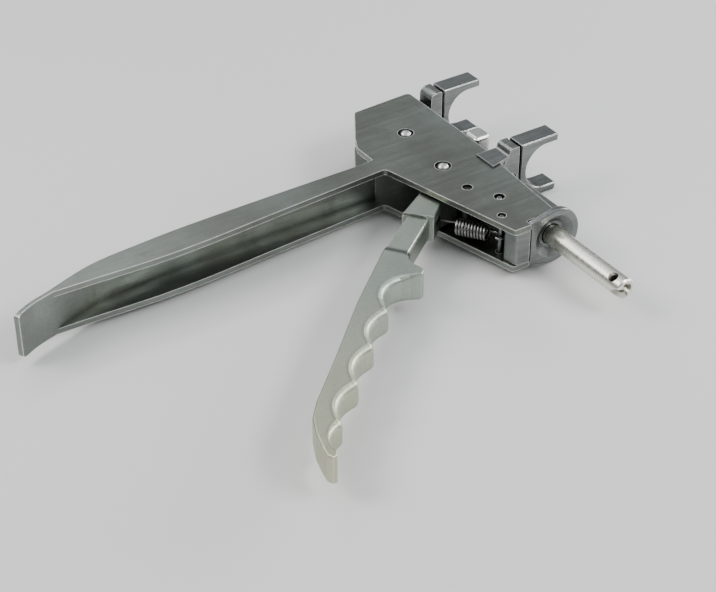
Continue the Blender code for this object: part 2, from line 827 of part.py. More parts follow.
def compression_spring(name, x, low, high, coil, wire, turns):
    """Coil spring along Y with closed end turns."""
    steps = 14
    total = int(turns * steps)
    length = high - low - 2 * wire
    points = []
    for i in range(total + 1):
        angle = 2 * math.pi * i / steps
        share = i / total
        closed = 1.0 / turns
        if share < closed:
            rise = 0.35 * closed * share
        elif share > 1 - closed:
            rise = 1 - 0.35 * closed * (1 - share)
        else:
            begin = 0.35 * closed * closed
            rise = begin + (1 - 2 * begin) * (share - closed) / (1 - 2 * closed)
        y = low + wire + length * rise
        points.append((x + coil * math.cos(angle), y, coil * math.sin(angle)))
    bm = bmesh.new()
    add_wire(bm, points, wire, 8)
    finish(to_object(name, bm), *SPRING_STEEL)


# ---------------------------------------------------------------- drive and release plates
def build_drive_plates():
    front_face = DRIVE_FACE - DRIVE_THICK - GAP
    for name, rear in (("drive_plate_rear", DRIVE_FACE), ("drive_plate_front", front_face)):
        corners = [
            (PLATE_LEFT, -PLATE_HALF),
            (PLATE_RIGHT, -PLATE_HALF),
            (PLATE_RIGHT, PLATE_HALF),
            (PLATE_LEFT, PLATE_HALF),
        ]
        bm = bmesh.new()
        place = Matrix.Rotation(math.radians(90), 4, "X")
        add_prism(bm, round_outline(corners, [1.2, 3.0, 3.0, 1.2]), -rear, DRIVE_THICK - rear, place)
        plate = to_object(name, bm)
        bm = bmesh.new()
        add_rod(bm, along_y(0, 0), SLIDE_R, rear - DRIVE_THICK - 1, rear + 1)
        combine(plate, cutter(name + "_hole", bm), "DIFFERENCE")
        finish(plate, *DARK_STEEL)


def build_release_plate():
    front = FULCRUM[1] - RELEASE_THICK / 2
    rear = FULCRUM[1] + RELEASE_THICK / 2
    bm = bmesh.new()
    outline = arc(FULCRUM, 3.2, 30, 330, 16)
    reach = PAD_LEFT + RELEASE_THICK
    outline += [(reach, front), (reach, rear)]
    add_prism(bm, outline, -PLATE_HALF, PLATE_HALF)
    plate = to_object("release_plate", bm, (*FULCRUM, 0.0))
    pad = [(PAD_LEFT, PAD_FRONT), (PAD_RIGHT, PAD_FRONT), (PAD_RIGHT, PAD_REAR), (PAD_LEFT, PAD_REAR)]
    bm = bmesh.new()
    add_prism(bm, round_outline(pad, [0.0, 2.2, 2.2, 0.0], 4), -PAD_HALF, PAD_HALF)
    pad_obj = cutter("release_pad", bm)
    bevel = pad_obj.modifiers.new("pad_edges", "BEVEL")
    bevel.limit_method = "ANGLE"
    bevel.angle_limit = math.radians(60)
    bevel.width = PAD_EDGE * MM
    bevel.segments = 3
    combine(plate, pad_obj, "UNION")
    bm = bmesh.new()
    add_rod(bm, along_y(0, 0), RELEASE_HOLE_R, front - 2, rear + 2)
    combine(plate, cutter("release_rod_hole", bm), "DIFFERENCE")
    bm = bmesh.new()
    add_rod(bm, upright(*FULCRUM), FULCRUM_R + GAP, -10, 10, SMALL_ROUND)
    combine(plate, cutter("release_pin_hole", bm), "DIFFERENCE")
    bm = bmesh.new()
    add_rod(bm, along_y(PAD_SPRING_X, 0), POCKET_R, PAD_FRONT - 3, PAD_FRONT + POCKET_DEPTH, SMALL_ROUND)
    combine(plate, cutter("release_spring_pocket", bm), "DIFFERENCE")
    finish(plate, *BRIGHT_STEEL)


# ---------------------------------------------------------------- ram
def build_ram_rod():
    chamfer = 0.6
    bm = bmesh.new()
    profile = [
        (0.0, ROD_FRONT),
        (ROD_R - chamfer, ROD_FRONT),
        (ROD_R, ROD_FRONT + chamfer),
        (ROD_R, ROD_REAR - chamfer),
        (ROD_R - chamfer, ROD_REAR),
        (0.0, ROD_REAR),
    ]
    add_turned(bm, profile, along_y(0, 0))
    rod = to_object("ram_rod", bm)
    bm = bmesh.new()
    depth = ROD_FRONT + ROD_BORE_DEPTH
    profile = [(0.0, ROD_FRONT - 2), (ROD_BORE_R, ROD_FRONT - 2), (ROD_BORE_R, depth), (0.0, depth + 1.5)]
    add_turned(bm, profile, along_y(0, 0) @ Matrix.Rotation(math.radians(4), 4, "Z"), 32)
    combine(rod, cutter("ram_rod_bore", bm), "DIFFERENCE")
    bm = bmesh.new()
    place = Matrix.Translation((0, ROD_CROSS_Y, 0)) @ Matrix.Rotation(math.radians(-ROD_CROSS_TILT), 4, "Y")
    add_rod(bm, place, ROD_CROSS_R, -8, 8, SMALL_ROUND)
    combine(rod, cutter("ram_rod_cross_hole", bm), "DIFFERENCE")
    bm = bmesh.new()
    half, mouth = ROD_NOTCH_WIDE / 2, ROD_FRONT - 1.0
    deepest = (0.0, ROD_FRONT + ROD_NOTCH_DEPTH)
    outline = [(half, mouth), (half, ROD_FRONT), deepest, (-half, ROD_FRONT), (-half, mouth)]
    outline = round_outline(outline, [0, 0, ROD_NOTCH_R, 0, 0], 8)
    turn = Matrix.Rotation(math.radians(90.0 - ROD_NOTCH_ANGLE), 4, "Y")
    add_prism(bm, outline, 0.5, 8.0, turn)
    combine(rod, cutter("ram_rod_end_notch", bm), "DIFFERENCE")
    bm = bmesh.new()
    add_rod(bm, upright(0, MOVING_JAW_Y), RAM_PIN_R + GAP, -8, 8, SMALL_ROUND)
    combine(rod, cutter("ram_rod_pin_hole", bm), "DIFFERENCE")
    finish(rod, *ROD_STEEL)

    bm = bmesh.new()
    add_rod(bm, upright(0, MOVING_JAW_Y), RAM_PIN_R, -RAM_PIN_END, RAM_PIN_END, SMALL_ROUND)
    finish(to_object("carriage_pin", bm), *BRIGHT_STEEL)


# ---------------------------------------------------------------- jaws
def add_head(bm, y, left, corner):
    """Upright head that stands taller than the frame, rounded on its inner side."""
    low, high = y - JAW_THICK / 2, y + JAW_THICK / 2
    outline = [(HEAD_RIGHT, JAW_HALF), (left, JAW_HALF), (left, -JAW_HALF), (HEAD_RIGHT, -JAW_HALF)]
    outline = round_outline(outline, [0.5, corner, corner, 0.5], 8)
    place = Matrix.Rotation(math.radians(90), 4, "X")
    add_prism(bm, outline, -high, -low, place)


def cut_socket(obj, name, y):
    """Socket for the yoke tongue and the cross hole for its pin."""
    bm = bmesh.new()
    half_y = TONGUE_HALF_Y + GAP
    half_z = TONGUE_HALF_Z + GAP
    add_box(bm, TONGUE_LEFT - GAP, HEAD_RIGHT + 2, y - half_y, y + half_y, -half_z, half_z)
    combine(obj, cutter(name + "_socket", bm), "DIFFERENCE")
    bm = bmesh.new()
    add_rod(bm, along_y(YOKE_PIN_X, 0), YOKE_PIN_R + GAP, y - 10, y + 10, SMALL_ROUND)
    combine(obj, cutter(name + "_pin_hole", bm), "DIFFERENCE")


def build_yoke(name, y):
    low, high = y - JAW_THICK / 2, y + JAW_THICK / 2
    mouth = arc((YOKE_CENTRE_X, 0), YOKE_MOUTH_R, 270, 90, 24)
    outline = [(YOKE_LEFT, -JAW_HALF), (YOKE_RIGHT, -JAW_HALF), (YOKE_RIGHT, -YOKE_MOUTH_R)]
    outline += mouth + [(YOKE_RIGHT, YOKE_MOUTH_R), (YOKE_RIGHT, JAW_HALF), (YOKE_LEFT, JAW_HALF)]
    radii = [0.5, 1.0, 0.5] + [0] * len(mouth) + [0.5, 1.0, 0.5]
    bm = bmesh.new()
    place = Matrix.Rotation(math.radians(90), 4, "X")
    add_prism(bm, round_outline(outline, radii, 3), -high, -low, place)
    yoke = to_object(name, bm)
    bevel = yoke.modifiers.new("machined_edges", "BEVEL")
    bevel.limit_method = "ANGLE"
    bevel.angle_limit = math.radians(60)
    bevel.width = 0.4 * MM
    bevel.segments = 1
    bm = bmesh.new()
    tongue = (y - TONGUE_HALF_Y, y + TONGUE_HALF_Y, -TONGUE_HALF_Z, TONGUE_HALF_Z)
    add_box(bm, TONGUE_LEFT, YOKE_LEFT + 2, *tongue)
    combine(yoke, cutter(name + "_tongue", bm), "UNION")
    bm = bmesh.new()
    add_rod(bm, along_y(YOKE_PIN_X, 0), YOKE_PIN_R + GAP, y - 6, y + 6, SMALL_ROUND)
    combine(yoke, cutter(name + "_pin_hole", bm), "DIFFERENCE")
    finish(yoke, *JAW_STEEL)

    bm = bmesh.new()
    reach = JAW_THICK / 2 - 0.3
    profile = [(0.0, -reach), (YOKE_PIN_R - 0.3, -reach), (YOKE_PIN_R, 0.3 - reach)]
    profile += [(r, -h) for r, h in reversed(profile)]
    add_turned(bm, profile, along_y(YOKE_PIN_X, y), SMALL_ROUND)
    finish(to_object(name + "_pin", bm), *BRIGHT_STEEL)


def build_carriage():
    bm = bmesh.new()
    block = [(CARRIAGE_LEFT, CARRIAGE_FRONT), (PAD_LEFT, CARRIAGE_FRONT)]
    block += [(PAD_LEFT, CARRIAGE_REAR), (CARRIAGE_LEFT, CARRIAGE_REAR)]
    add_prism(bm, round_outline(block, [1.5, 1.5, 1.5, 1.5], 3), -FILL, FILL)
    carriage = to_object("carriage", bm)
    bm = bmesh.new()
    low, high = MOVING_JAW_Y - JAW_THICK / 2, MOVING_JAW_Y + JAW_THICK / 2
    add_box(bm, PAD_LEFT - 1.0, MOVING_HEAD_LEFT + 1.0, low, high, -FILL, FILL)
    combine(carriage, cutter("carriage_neck", bm), "UNION")
    bm = bmesh.new()
    add_head(bm, MOVING_JAW_Y, MOVING_HEAD_LEFT, MOVING_HEAD_ROUND)
    combine(carriage, cutter("carriage_head", bm), "UNION")
    bm = bmesh.new()
    add_rod(bm, along_y(0, 0), SLIDE_R, CARRIAGE_FRONT - 2, CARRIAGE_REAR + 2)
    combine(carriage, cutter("carriage_rod_bore", bm), "DIFFERENCE")
    bm = bmesh.new()
    add_rod(bm, upright(0, MOVING_JAW_Y), RAM_PIN_R + GAP, -10, 10, SMALL_ROUND)
    combine(carriage, cutter("carriage_pin_hole", bm), "DIFFERENCE")
    cut_socket(carriage, "carriage", MOVING_JAW_Y)
    finish(carriage, *JAW_STEEL)


def build_fixed_bracket():
    """Saddle that straddles the frame with a strap on each side plate."""
    front, rear = FIXED_JAW_Y - JAW_THICK / 2, FIXED_JAW_Y + JAW_THICK / 2
    left = FIXED_HEAD_LEFT
    bm = bmesh.new()
    slope = (front - STRAP_FRONT) / (left - STRAP_LEFT)
    base = [(BASE_LEFT, front - slope * (left - BASE_LEFT)), (left, front)]
    base += [(left + 0.6, front), (left + 0.6, rear), (BASE_LEFT, rear)]
    add_prism(bm, base, -STRAP_TOP, STRAP_TOP)
    bracket = to_object("fixed_jaw_bracket", bm)
    bm = bmesh.new()
    strap = [(STRAP_LEFT, STRAP_FRONT), (left, front), (left, rear), (STRAP_LEFT, rear)]
    cheek = [(EDGE_FRONT, front - 0.8), (left - 1.0, front - 0.2), (left - 1.0, rear), (EDGE_REAR, rear)]
    for side in (1, -1):
        low, high = sorted((side * (PLATE_OUT + CLOSE), side * STRAP_TOP))
        add_prism(bm, strap, low, high)
    combine(bracket, cutter("bracket_straps", bm), "UNION")
    bm = bmesh.new()
    for side in (1, -1):
        low, high = sorted((side * (PLATE_IN + GAP), side * (STRAP_TOP - 0.2)))
        add_prism(bm, cheek, low, high)
    combine(bracket, cutter("bracket_cheeks", bm), "UNION")
    bm = bmesh.new()
    add_head(bm, FIXED_JAW_Y, left, FIXED_HEAD_ROUND)
    combine(bracket, cutter("bracket_head", bm), "UNION")
    bm = bmesh.new()
    place = Matrix.Rotation(math.radians(90), 4, "X")
    corner = FIXED_HEAD_FILLET
    for side in (1, -1):
        fillet = arc((left - corner, STRAP_TOP + corner), corner, 270, 360, 6)
        fillet += [(left + 0.4, STRAP_TOP + corner), (left + 0.4, STRAP_TOP - 0.4)]
        fillet += [(left - corner, STRAP_TOP - 0.4)]
        add_prism(bm, [(x, side * z) for x, z in fillet], -rear, -front, place)
    combine(bracket, cutter("bracket_fillets", bm), "UNION")
    cut_socket(bracket, "bracket", FIXED_JAW_Y)
    finish(bracket, *JAW_STEEL)


# ---------------------------------------------------------------- assembly
def main():
    for obj in list(bpy.data.objects):
        bpy.data.objects.remove(obj, do_unlink=True)
    build_frame()
    build_guide_block()
    build_front_collar()
    build_pins()
    build_lever()
    build_lever_spring()
    build_drive_plates()
    spring_end = DRIVE_FACE - 2 * DRIVE_THICK - GAP
    compression_spring("drive_spring", 0.0, BLOCK_REAR + CLOSE, spring_end - CLOSE, 5.75, 0.7, 6)
    build_release_plate()
    seat_low = FIXED_JAW_Y + JAW_THICK / 2 + CLOSE
    seat_high = PAD_FRONT + POCKET_DEPTH - CLOSE
    compression_spring("release_spring", PAD_SPRING_X, seat_low, seat_high, 2.2, 0.4, 7)
    build_ram_rod()
    build_carriage()
    build_fixed_bracket()
    build_yoke("fixed_yoke", FIXED_JAW_Y)
    build_yoke("moving_yoke", MOVING_JAW_Y)


main()
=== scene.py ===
"""Looks for the hand lever press: detailed meshes, worn metal finishes with painted shade in the seams and
painted highlights on the edges, studio floor, light and camera.
"""
import json
import math

import bmesh
import bpy
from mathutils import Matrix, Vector


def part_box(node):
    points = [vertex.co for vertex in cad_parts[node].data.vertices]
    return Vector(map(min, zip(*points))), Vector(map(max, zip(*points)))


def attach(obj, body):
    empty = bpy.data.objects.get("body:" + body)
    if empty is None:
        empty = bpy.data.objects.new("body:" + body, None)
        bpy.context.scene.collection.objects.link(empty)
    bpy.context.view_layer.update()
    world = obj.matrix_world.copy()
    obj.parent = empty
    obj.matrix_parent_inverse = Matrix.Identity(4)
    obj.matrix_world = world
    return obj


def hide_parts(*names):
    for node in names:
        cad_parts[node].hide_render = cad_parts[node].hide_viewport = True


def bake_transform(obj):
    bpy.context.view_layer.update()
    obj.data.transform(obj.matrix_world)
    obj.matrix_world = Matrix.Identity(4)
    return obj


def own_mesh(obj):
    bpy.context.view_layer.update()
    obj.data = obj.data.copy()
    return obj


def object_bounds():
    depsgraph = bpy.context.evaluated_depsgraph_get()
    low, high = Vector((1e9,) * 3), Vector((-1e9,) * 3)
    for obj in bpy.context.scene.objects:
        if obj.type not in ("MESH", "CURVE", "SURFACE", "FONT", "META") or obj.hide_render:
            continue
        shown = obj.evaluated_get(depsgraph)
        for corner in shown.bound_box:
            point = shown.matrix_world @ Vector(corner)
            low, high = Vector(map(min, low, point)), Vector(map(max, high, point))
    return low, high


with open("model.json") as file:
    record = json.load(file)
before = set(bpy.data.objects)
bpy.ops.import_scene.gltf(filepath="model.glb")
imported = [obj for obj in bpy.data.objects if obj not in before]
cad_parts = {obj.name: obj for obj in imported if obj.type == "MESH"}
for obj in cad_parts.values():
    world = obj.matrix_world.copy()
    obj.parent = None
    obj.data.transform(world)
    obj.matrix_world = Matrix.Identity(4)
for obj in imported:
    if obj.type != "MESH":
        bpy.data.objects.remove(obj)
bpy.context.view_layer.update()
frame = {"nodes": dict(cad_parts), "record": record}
MM = 0.001

EDGE_SAMPLES = 8

# ---- finishes: grain directions as noise scales on X, Y and Z ----
AROUND_Y = (60.0, 2600.0, 60.0)
ALONG_X = (90.0, 2400.0, 2400.0)
ALONG_Z = (2400.0, 2400.0, 90.0)
# Reach of the edge mask: edges are lightened as partly real wear and partly painted highlight.
WEAR_HIGHLIGHT_RADIUS = 0.6 * MM
FRAME_WEAR_HIGHLIGHT_RADIUS = 0.8 * MM

# ---- the painted shade band at the crease across the lever, given from its pivot ----
NECK_LEAD = Vector((-0.805, -0.593, 0.0))
CREASE_FROM_HUB = Vector((-48.6, -36.3, 0.0)) * MM
CREASE_SHADE_HALF = 1.3 * MM

# ---- springs ----
HOOK_TURN = 270.0
POST_HOOK = 2.5 * MM
ANCHOR_HOOK = 2.4 * MM
POST_LINK = 10.5 * MM
ANCHOR_LINK = 5.6 * MM
LEVER_COIL = 3.0 * MM
LEVER_COIL_TURNS = 10
LEVER_WIRE = 0.6 * MM
CLOSED_PITCH = 2.2

# ---- stage ----
FLOOR_SIZE = 8.0
FLOOR_CELLS = 8
SKY_TINT = (0.93, 0.96, 1.0, 1.0)
SKY_HEIGHTS = (0.1, 0.9)
SKY_STRENGTHS = (0.1, 0.95)
LIGHT_TARGET = (-0.07, -0.093, 0.0)
CAMERA_PLACE = (-0.4056, -0.5856, 0.4115)
CAMERA_AIM = (-0.0895, -0.104, 0.0)
CAMERA_LENS = 92.0


# ---------------------------------------------------------------- node helpers
class Shader:
    """Small helper that wires one material's nodes."""

    def __init__(self, name):
        self.mat = bpy.data.materials.new(name)
        self.mat.use_nodes = True
        self.tree = self.mat.node_tree
        self.bsdf = self.tree.nodes["Principled BSDF"]
        coords = self.tree.nodes.new("ShaderNodeTexCoord")
        self.coords = coords.outputs["Object"]

    def link(self, source, target):
        self.tree.links.new(source, target)

    def feed(self, socket, value):
        """Set a socket to a colour or a number, or link it to another node's output."""
        if isinstance(value, tuple):
            socket.default_value = (*value, 1.0)
        elif isinstance(value, (int, float)):
            socket.default_value = value
        else:
            self.link(value, socket)

    def stretched(self, scale):
        node = self.tree.nodes.new("ShaderNodeMapping")
        node.inputs["Scale"].default_value = scale
        self.link(self.coords, node.inputs["Vector"])
        return node.outputs["Vector"]

    def noise(self, scale, detail=4.0, roughness=0.55, stretch=None, distortion=0.0):
        node = self.tree.nodes.new("ShaderNodeTexNoise")
        node.inputs["Scale"].default_value = scale
        node.inputs["Detail"].default_value = detail
        node.inputs["Roughness"].default_value = roughness
        node.inputs["Distortion"].default_value = distortion
        self.link(self.stretched(stretch) if stretch else self.coords, node.inputs["Vector"])
        return node.outputs["Fac"]

    def band(self, centre, direction, half):
        """Mask that is 1 within half of a plane through centre and fades out over the same distance."""
        node = self.tree.nodes.new("ShaderNodeVectorMath")
        node.operation = "DOT_PRODUCT"
        self.link(self.coords, node.inputs[0])
        node.inputs[1].default_value = direction
        offset = self.math("SUBTRACT", node.outputs["Value"], centre.dot(direction))
        away = self.math("ABSOLUTE", offset, 0.0)
        return self.ramp(away, half, 2.0 * half, 1.0, 0.0)

    def along(self, low, high):
        """Mask that rises from 0 at low to 1 a little past halfway to high, on Y."""
        split = self.tree.nodes.new("ShaderNodeSeparateXYZ")
        self.link(self.coords, split.inputs["Vector"])
        return self.ramp(split.outputs["Y"], low, low + (high - low) * 0.55)

    def ramp(self, value, low, high, start=0.0, end=1.0):
        node = self.tree.nodes.new("ShaderNodeMapRange")
        node.inputs["From Min"].default_value = low
        node.inputs["From Max"].default_value = high
        node.inputs["To Min"].default_value = start
        node.inputs["To Max"].default_value = end
        self.link(value, node.inputs["Value"])
        return node.outputs["Result"]

    def math(self, operation, a, b):
        node = self.tree.nodes.new("ShaderNodeMath")
        node.operation = operation
        for socket, value in zip(node.inputs, (a, b)):
            self.feed(socket, value)
        return node.outputs["Value"]

    def mix(self, factor, a, b):
        node = self.tree.nodes.new("ShaderNodeMix")
        node.data_type = "RGBA"
        for name, value in (("Factor", factor), ("A", a), ("B", b)):
            self.feed(node.inputs[name], value)
        return node.outputs["Result"]

    def edges(self, radius, low=0.02, high=0.22):
        """Mask that is 1 along sharp edges: how far a rounded normal leans from the real one."""
        rounded = self.tree.nodes.new("ShaderNodeBevel")
        rounded.samples = EDGE_SAMPLES
        rounded.inputs["Radius"].default_value = radius
        real = self.tree.nodes.new("ShaderNodeNewGeometry")
        dot = self.tree.nodes.new("ShaderNodeVectorMath")
        dot.operation = "DOT_PRODUCT"
        self.link(rounded.outputs["Normal"], dot.inputs[0])
        self.link(real.outputs["Normal"], dot.inputs[1])
        away = self.math("SUBTRACT", 1.0, dot.outputs["Value"])
        return self.ramp(away, low, high)

    def corner_shade(self, distance, low=0.35, high=0.95):
        """Ambient-occlusion mask that is 1 in corners and seams, where shade falls; it paints shade there
        and keeps lightened edges out of corners.
        """
        node = self.tree.nodes.new("ShaderNodeAmbientOcclusion")
        node.samples = EDGE_SAMPLES
        node.inputs["Distance"].default_value = distance
        return self.ramp(node.outputs["AO"], low, high, 1.0, 0.0)

    def bump(self, height, strength, distance):
        node = self.tree.nodes.new("ShaderNodeBump")
        node.inputs["Strength"].default_value = strength
        node.inputs["Distance"].default_value = distance
        self.link(height, node.inputs["Height"])
        previous = self.bsdf.inputs["Normal"]
        if previous.is_linked:
            self.link(previous.links[0].from_socket, node.inputs["Normal"])
        self.link(node.outputs["Normal"], previous)

    def surface(self, colour, roughness, metallic=1.0):
        for name, value in (("Base Color", colour), ("Roughness", roughness), ("Metallic", metallic)):
            self.feed(self.bsdf.inputs[name], value)


def worn_shaded_metal(name, colours, rough, grain, lines, pits, stains=0.35, wear_highlight_radius=WEAR_HIGHLIGHT_RADIUS):
    """Metal with cloudy tint, directional grain, fine pits, worn edges lightened as painted highlights, and
    painted shade in the seams.
    """
    base, light, dark = colours
    s = Shader(name)
    cloud = s.noise(24.0, 5.0, 0.6)
    stain = s.noise(70.0, 6.0, 0.65, distortion=0.4)
    fine = s.noise(1100.0, 3.0, 0.6)
    hair = s.noise(1.0, 3.0, 0.6, stretch=grain)
    streaks = s.noise(1.0, 2.0, 0.5, stretch=tuple(g * 0.2 for g in grain))
    tint = s.mix(s.ramp(cloud, 0.35, 0.68), base, light)
    tint = s.mix(s.ramp(stain, 0.56, 0.72, 0.0, stains), tint, dark)
    tint = s.mix(s.ramp(hair, 0.4, 0.75, 0.0, lines), tint, dark)
    tint = s.mix(s.ramp(fine, 0.6, 0.78, 0.0, pits), tint, dark)
    worn_edge_highlight = 0.0
    if wear_highlight_radius:
        # Painted highlight, partly real wear: sharp edges lightened towards a pale tone.
        broken = s.ramp(s.noise(260.0, 3.0), 0.3, 0.55, 0.6, 1.0)
        worn_edge_highlight = s.math("MULTIPLY", s.edges(wear_highlight_radius, 0.03, 0.16), broken)
        worn_edge_highlight = s.math("MULTIPLY", worn_edge_highlight, s.math("SUBTRACT", 1.0, s.corner_shade(4.0 * MM, 0.55, 0.8)))
        tint = s.mix(worn_edge_highlight, tint, tuple(min(0.9, 0.5 + c * 1.1) for c in light))
    # Painted shade: seams, corners and hollows darkened by the occlusion mask, unevenly along the cloud
    # noise.
    painted_seam_shade = s.math("MULTIPLY", s.corner_shade(5.0 * MM, 0.3, 0.9), s.ramp(cloud, 0.35, 0.6, 0.5, 0.85))
    tint = s.mix(painted_seam_shade, tint, tuple(c * 0.3 for c in dark))
    roughness = s.ramp(streaks, 0.3, 0.7, rough - 0.06, rough + 0.08)
    roughness = s.math("ADD", roughness, s.ramp(stain, 0.45, 0.75, 0.0, 0.25 * stains))
    roughness = s.math("SUBTRACT", roughness, s.math("MULTIPLY", worn_edge_highlight, 0.12))
    # Lightened edges are made less metallic, so the painted highlight shows bright from every side.
    s.surface(tint, roughness, s.math("SUBTRACT", 1.0, s.math("MULTIPLY", worn_edge_highlight, 0.6)))
    s.bump(hair, lines, 0.04 * MM)
    s.bump(fine, 0.5 * pits, 0.05 * MM)
    return s.mat


def middle(node):
    low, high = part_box(node)
    return (Vector(low) + Vector(high)) / 2


def cast_metal():
    """Tumbled casting: fine orange-peel grain, specks, polished edges lightened as painted highlights,
    painted shade in the seams and a painted shade band at the crease behind the neck.
    """
    s = Shader("cast_alloy")
    cloud = s.noise(22.0, 5.0, 0.6)
    speck = s.noise(1300.0, 2.0, 0.7)
    grain = s.noise(620.0, 4.0, 0.65)
    tint = s.mix(s.ramp(cloud, 0.35, 0.65), (0.36, 0.41, 0.36), (0.46, 0.50, 0.43))
    low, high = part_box("lever")
    tint = s.mix(s.along(low[1], high[1]), (0.52, 0.52, 0.38), tint)
    tint = s.mix(s.ramp(speck, 0.58, 0.74, 0.0, 0.5), tint, (0.14, 0.16, 0.14))
    tint = s.mix(s.ramp(grain, 0.58, 0.75, 0.0, 0.45), tint, (0.62, 0.64, 0.57))
    # Painted highlight, partly real polish: rounded edges lightened towards cream.
    broken = s.ramp(s.noise(180.0, 3.0), 0.3, 0.5, 0.5, 1.0)
    worn_edge_highlight = s.math("MULTIPLY", s.edges(0.9 * MM, 0.02, 0.2), broken)
    tint = s.mix(worn_edge_highlight, tint, (0.80, 0.79, 0.72))
    # Painted shade in the seams and corners.
    painted_seam_shade = s.math("MULTIPLY", s.corner_shade(5.0 * MM), 0.7)
    tint = s.mix(painted_seam_shade, tint, (0.05, 0.06, 0.05))
    # Painted shade: a dark band where the neck slopes up to the thicker grip.
    crease_shade = s.band(middle("lever_pivot_pin") + CREASE_FROM_HUB, NECK_LEAD, CREASE_SHADE_HALF)
    tint = s.mix(s.math("MULTIPLY", crease_shade, 0.8), tint, (0.06, 0.07, 0.06))
    roughness = s.ramp(grain, 0.3, 0.7, 0.34, 0.48)
    roughness = s.math("SUBTRACT", roughness, s.math("MULTIPLY", worn_edge_highlight, 0.12))
    s.surface(tint, roughness)
    s.bump(grain, 0.4, 0.1 * MM)
    s.bump(speck, 0.25, 0.05 * MM)
    s.bump(s.noise(70.0, 2.0), 0.2, 0.4 * MM)
    return s.mat


def wire_metal():
    """Bright drawn wire, with painted shade between the coils."""
    s = Shader("spring_wire")
    fine = s.noise(700.0, 3.0)
    tint = s.mix(s.ramp(fine, 0.4, 0.7), (0.32, 0.32, 0.31), (0.14, 0.14, 0.14))
    # Painted shade between the coils.
    tint = s.mix(s.corner_shade(2.0 * MM), tint, (0.02, 0.02, 0.02))
    s.surface(tint, s.ramp(fine, 0.3, 0.7, 0.22, 0.42))
    s.bump(fine, 0.3, 0.04 * MM)
    return s.mat


def floor_finish():
    s = Shader("studio_floor")
    soft = s.noise(2.0, 2.0)
    tint = s.mix(s.ramp(soft, 0.3, 0.7), (0.70, 0.70, 0.69), (0.73, 0.73, 0.72))
    s.surface(tint, 0.55, 0.0)
    return s.mat


FRAME_COLOURS = ((0.19, 0.20, 0.175), (0.27, 0.30, 0.28), (0.09, 0.10, 0.088))
JAW_COLOURS = ((0.20, 0.215, 0.21), (0.29, 0.305, 0.295), (0.07, 0.077, 0.075))
ROD_COLOURS = ((0.74, 0.73, 0.65), (0.82, 0.81, 0.73), (0.55, 0.53, 0.46))
BRIGHT_COLOURS = ((0.55, 0.55, 0.53), (0.68, 0.68, 0.66), (0.30, 0.30, 0.28))
DARK_COLOURS = ((0.09, 0.09, 0.09), (0.15, 0.15, 0.15), (0.04, 0.04, 0.04))
FINISHES = {
    "frame_steel": worn_shaded_metal("frame_steel", FRAME_COLOURS, 0.36, ALONG_X, 0.3, 0.4, wear_highlight_radius=FRAME_WEAR_HIGHLIGHT_RADIUS),
    "machined_steel": worn_shaded_metal("machined_steel", JAW_COLOURS, 0.32, ALONG_X, 0.6, 0.3),
    "rod_steel": worn_shaded_metal("rod_steel", ROD_COLOURS, 0.27, AROUND_Y, 0.01, 0.0, 0.05, 0.0),
    "bright_steel": worn_shaded_metal("bright_steel", BRIGHT_COLOURS, 0.28, ALONG_X, 0.02, 0.0, 0.15, 0.0),
    "dark_steel": worn_shaded_metal("dark_steel", DARK_COLOURS, 0.38, ALONG_Z, 0.3, 0.3),
    "cast_alloy": cast_metal(),
    "spring_steel": wire_metal(),
}


# ---------------------------------------------------------------- CAD pieces that are shown
SPRINGS = ("lever_spring", "drive_spring", "release_spring")
SOFTENED = {
    "frame": 0.35 * MM,
    "fixed_jaw_bracket": 0.25 * MM,
    "carriage": 0.3 * MM,
    "guide_block": 0.3 * MM,
}
WELD_REACH = 0.005 * MM
SHARP_ANGLE = math.radians(38)


def soften(obj, width):
    """Join the split faces of an imported node, then round its sharp edges."""
    weld = obj.modifiers.new("weld", "WELD")
    weld.merge_threshold = WELD_REACH
    soft = obj.modifiers.new("soft_edges", "BEVEL")
    soft.limit_method = "ANGLE"
    soft.angle_limit = SHARP_ANGLE
    soft.width = width
    soft.segments = 2
    soft.harden_normals = True


def dress_nodes():
    """Give every shown CAD node its finish and, where asked, softened edges."""
    for row in frame["record"]["subparts"]:
        node, slot_name = row["node"], row["material_slot"]
        if node in SPRINGS:
            continue
        obj = frame["nodes"][node]
        obj.data.materials.clear()
        obj.data.materials.append(FINISHES[slot_name])
        if node in SOFTENED:
            soften(obj, SOFTENED[node])


# ---------------------------------------------------------------- springs
def sweep(name, path, radius, sides=12):
    """Round wire along a path of points, closed at both ends, in the spring's finish."""
    bm = bmesh.new()
    side = None
    rings = []
    for i, point in enumerate(path):
        ahead, behind = path[min(i + 1, len(path) - 1)], path[max(i - 1, 0)]
        tangent = (ahead - behind).normalized()
        side = tangent.orthogonal() if side is None else side - tangent * side.dot(tangent)
        side.normalize()
        other = tangent.cross(side)
        ring = []
        for k in range(sides):
            turn = 2 * math.pi * k / sides
            ring.append(bm.verts.new(point + radius * (math.cos(turn) * side + math.sin(turn) * other)))
        rings.append(ring)
    for first, second in zip(rings, rings[1:]):
        for k in range(sides):
            n = (k + 1) % sides
            bm.faces.new((first[k], first[n], second[n], second[k]))
    bm.faces.new(list(reversed(rings[0])))
    bm.faces.new(rings[-1])
    mesh = bpy.data.meshes.new(name)
    bm.to_mesh(mesh)
    bm.free()
    mesh.shade_smooth()
    mesh.materials.append(FINISHES["spring_steel"])
    obj = bpy.data.objects.new(name, mesh)
    bpy.context.scene.collection.objects.link(obj)
    return obj


def hook(centre, lead, across, radius, start, steps=24):
    """Open loop round a pin, in the plane of lead and across."""
    points = []
    for i in range(steps + 1):
        angle = math.radians(start - HOOK_TURN * i / steps)
        points.append(centre + radius * (math.cos(angle) * lead + math.sin(angle) * across))
    return points


